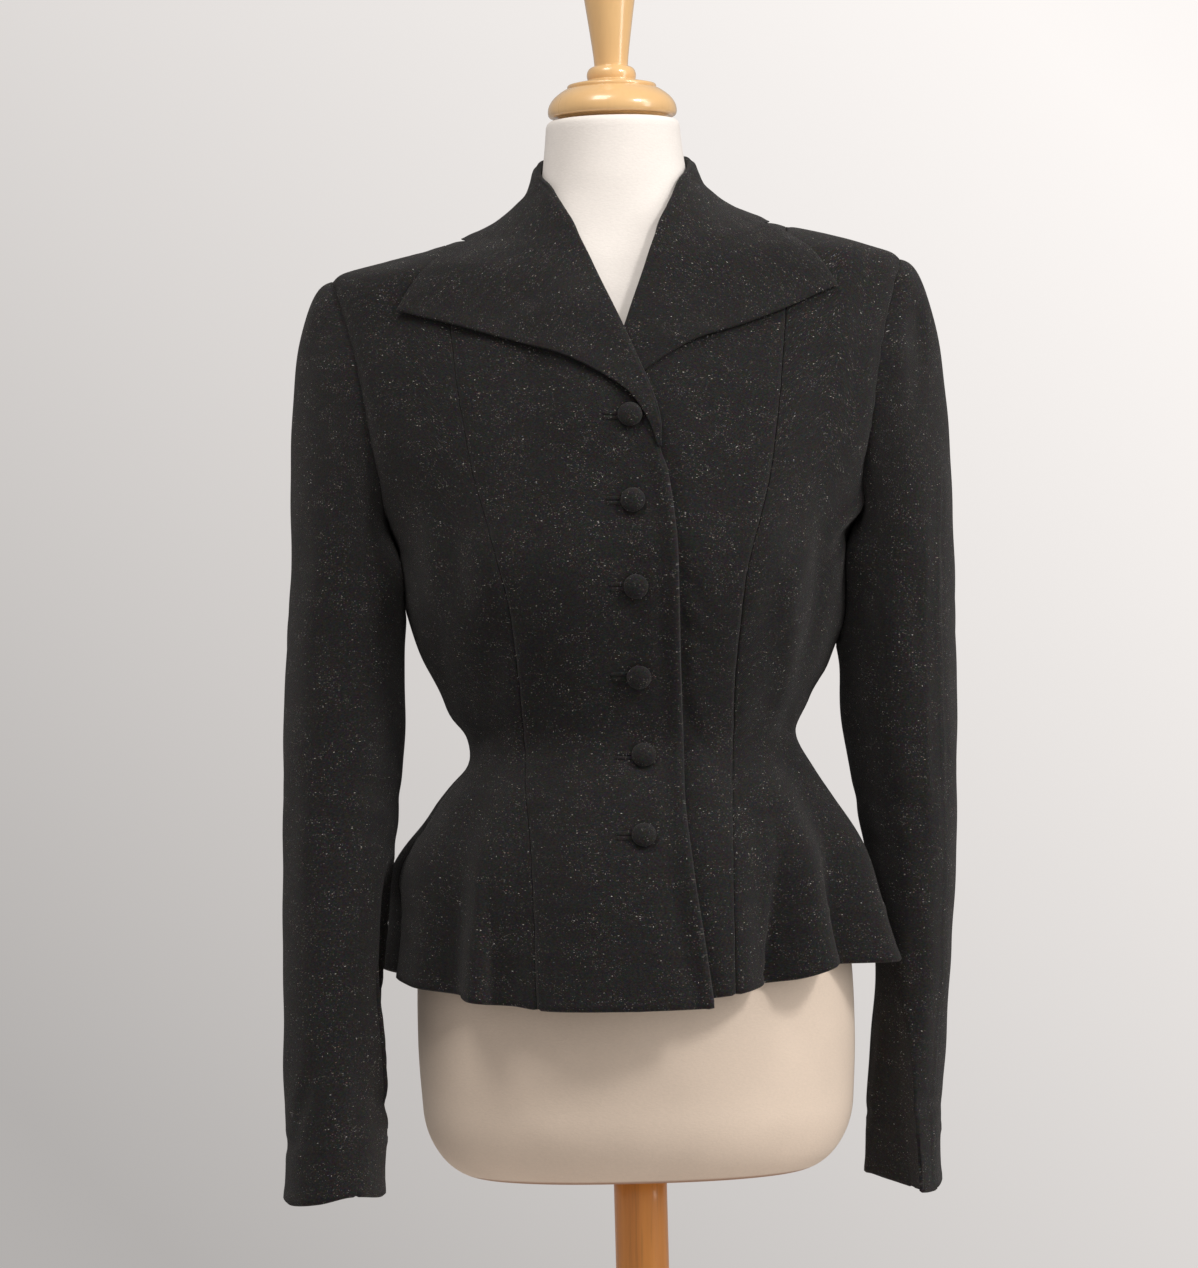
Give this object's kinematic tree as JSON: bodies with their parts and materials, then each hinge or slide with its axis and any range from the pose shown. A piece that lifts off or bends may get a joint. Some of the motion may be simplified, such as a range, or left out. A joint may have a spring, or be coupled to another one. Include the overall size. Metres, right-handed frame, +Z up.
{
  "type": "tweed jacket on a dress form with stand",
  "caption": "Fitted tweed jacket with a wide wing collar, princess seams, covered buttons and a fluted peplum, buttoned on a limbless dress form on a pole stand.",
  "frame": {"origin": "centre of the base's underside, on the floor", "axes": "+Z up, the jacket's front faces -Y, the wearer's left is +X"},
  "size_m": [0.453, 0.32, 1.6028],
  "materials": {
    "tweed": "near-black wool tweed with short cream, rust and grey-blue flecks, matt with a light nap",
    "jersey": "off-white fine jersey cover, matt",
    "blond_wood": "turned blond wood, clear varnish",
    "brown_wood": "orange-brown stained wood, satin varnish"
  },
  "bodies": {
    "root": {"front_centre_right": "tweed", "front_centre_left": "tweed", "front_side_right": "tweed", "front_side_left": "tweed", "back_right": "tweed", "back_left": "tweed", "sleeve_top_right": "tweed", "sleeve_under_right": "tweed", "sleeve_top_left": "tweed", "sleeve_under_left": "tweed", "collar_right": "tweed", "collar_left": "tweed", "button_1": "tweed", "button_2": "tweed", "button_3": "tweed", "button_4": "tweed", "button_5": "tweed", "button_6": "tweed", "buttonhole_1": "tweed", "buttonhole_2": "tweed", "buttonhole_3": "tweed", "buttonhole_4": "tweed", "buttonhole_5": "tweed", "buttonhole_6": "tweed", "form_torso": "jersey", "form_neck_cap": "blond_wood", "form_pole": "brown_wood", "form_base": "brown_wood"}
  },
  "joints": []
}
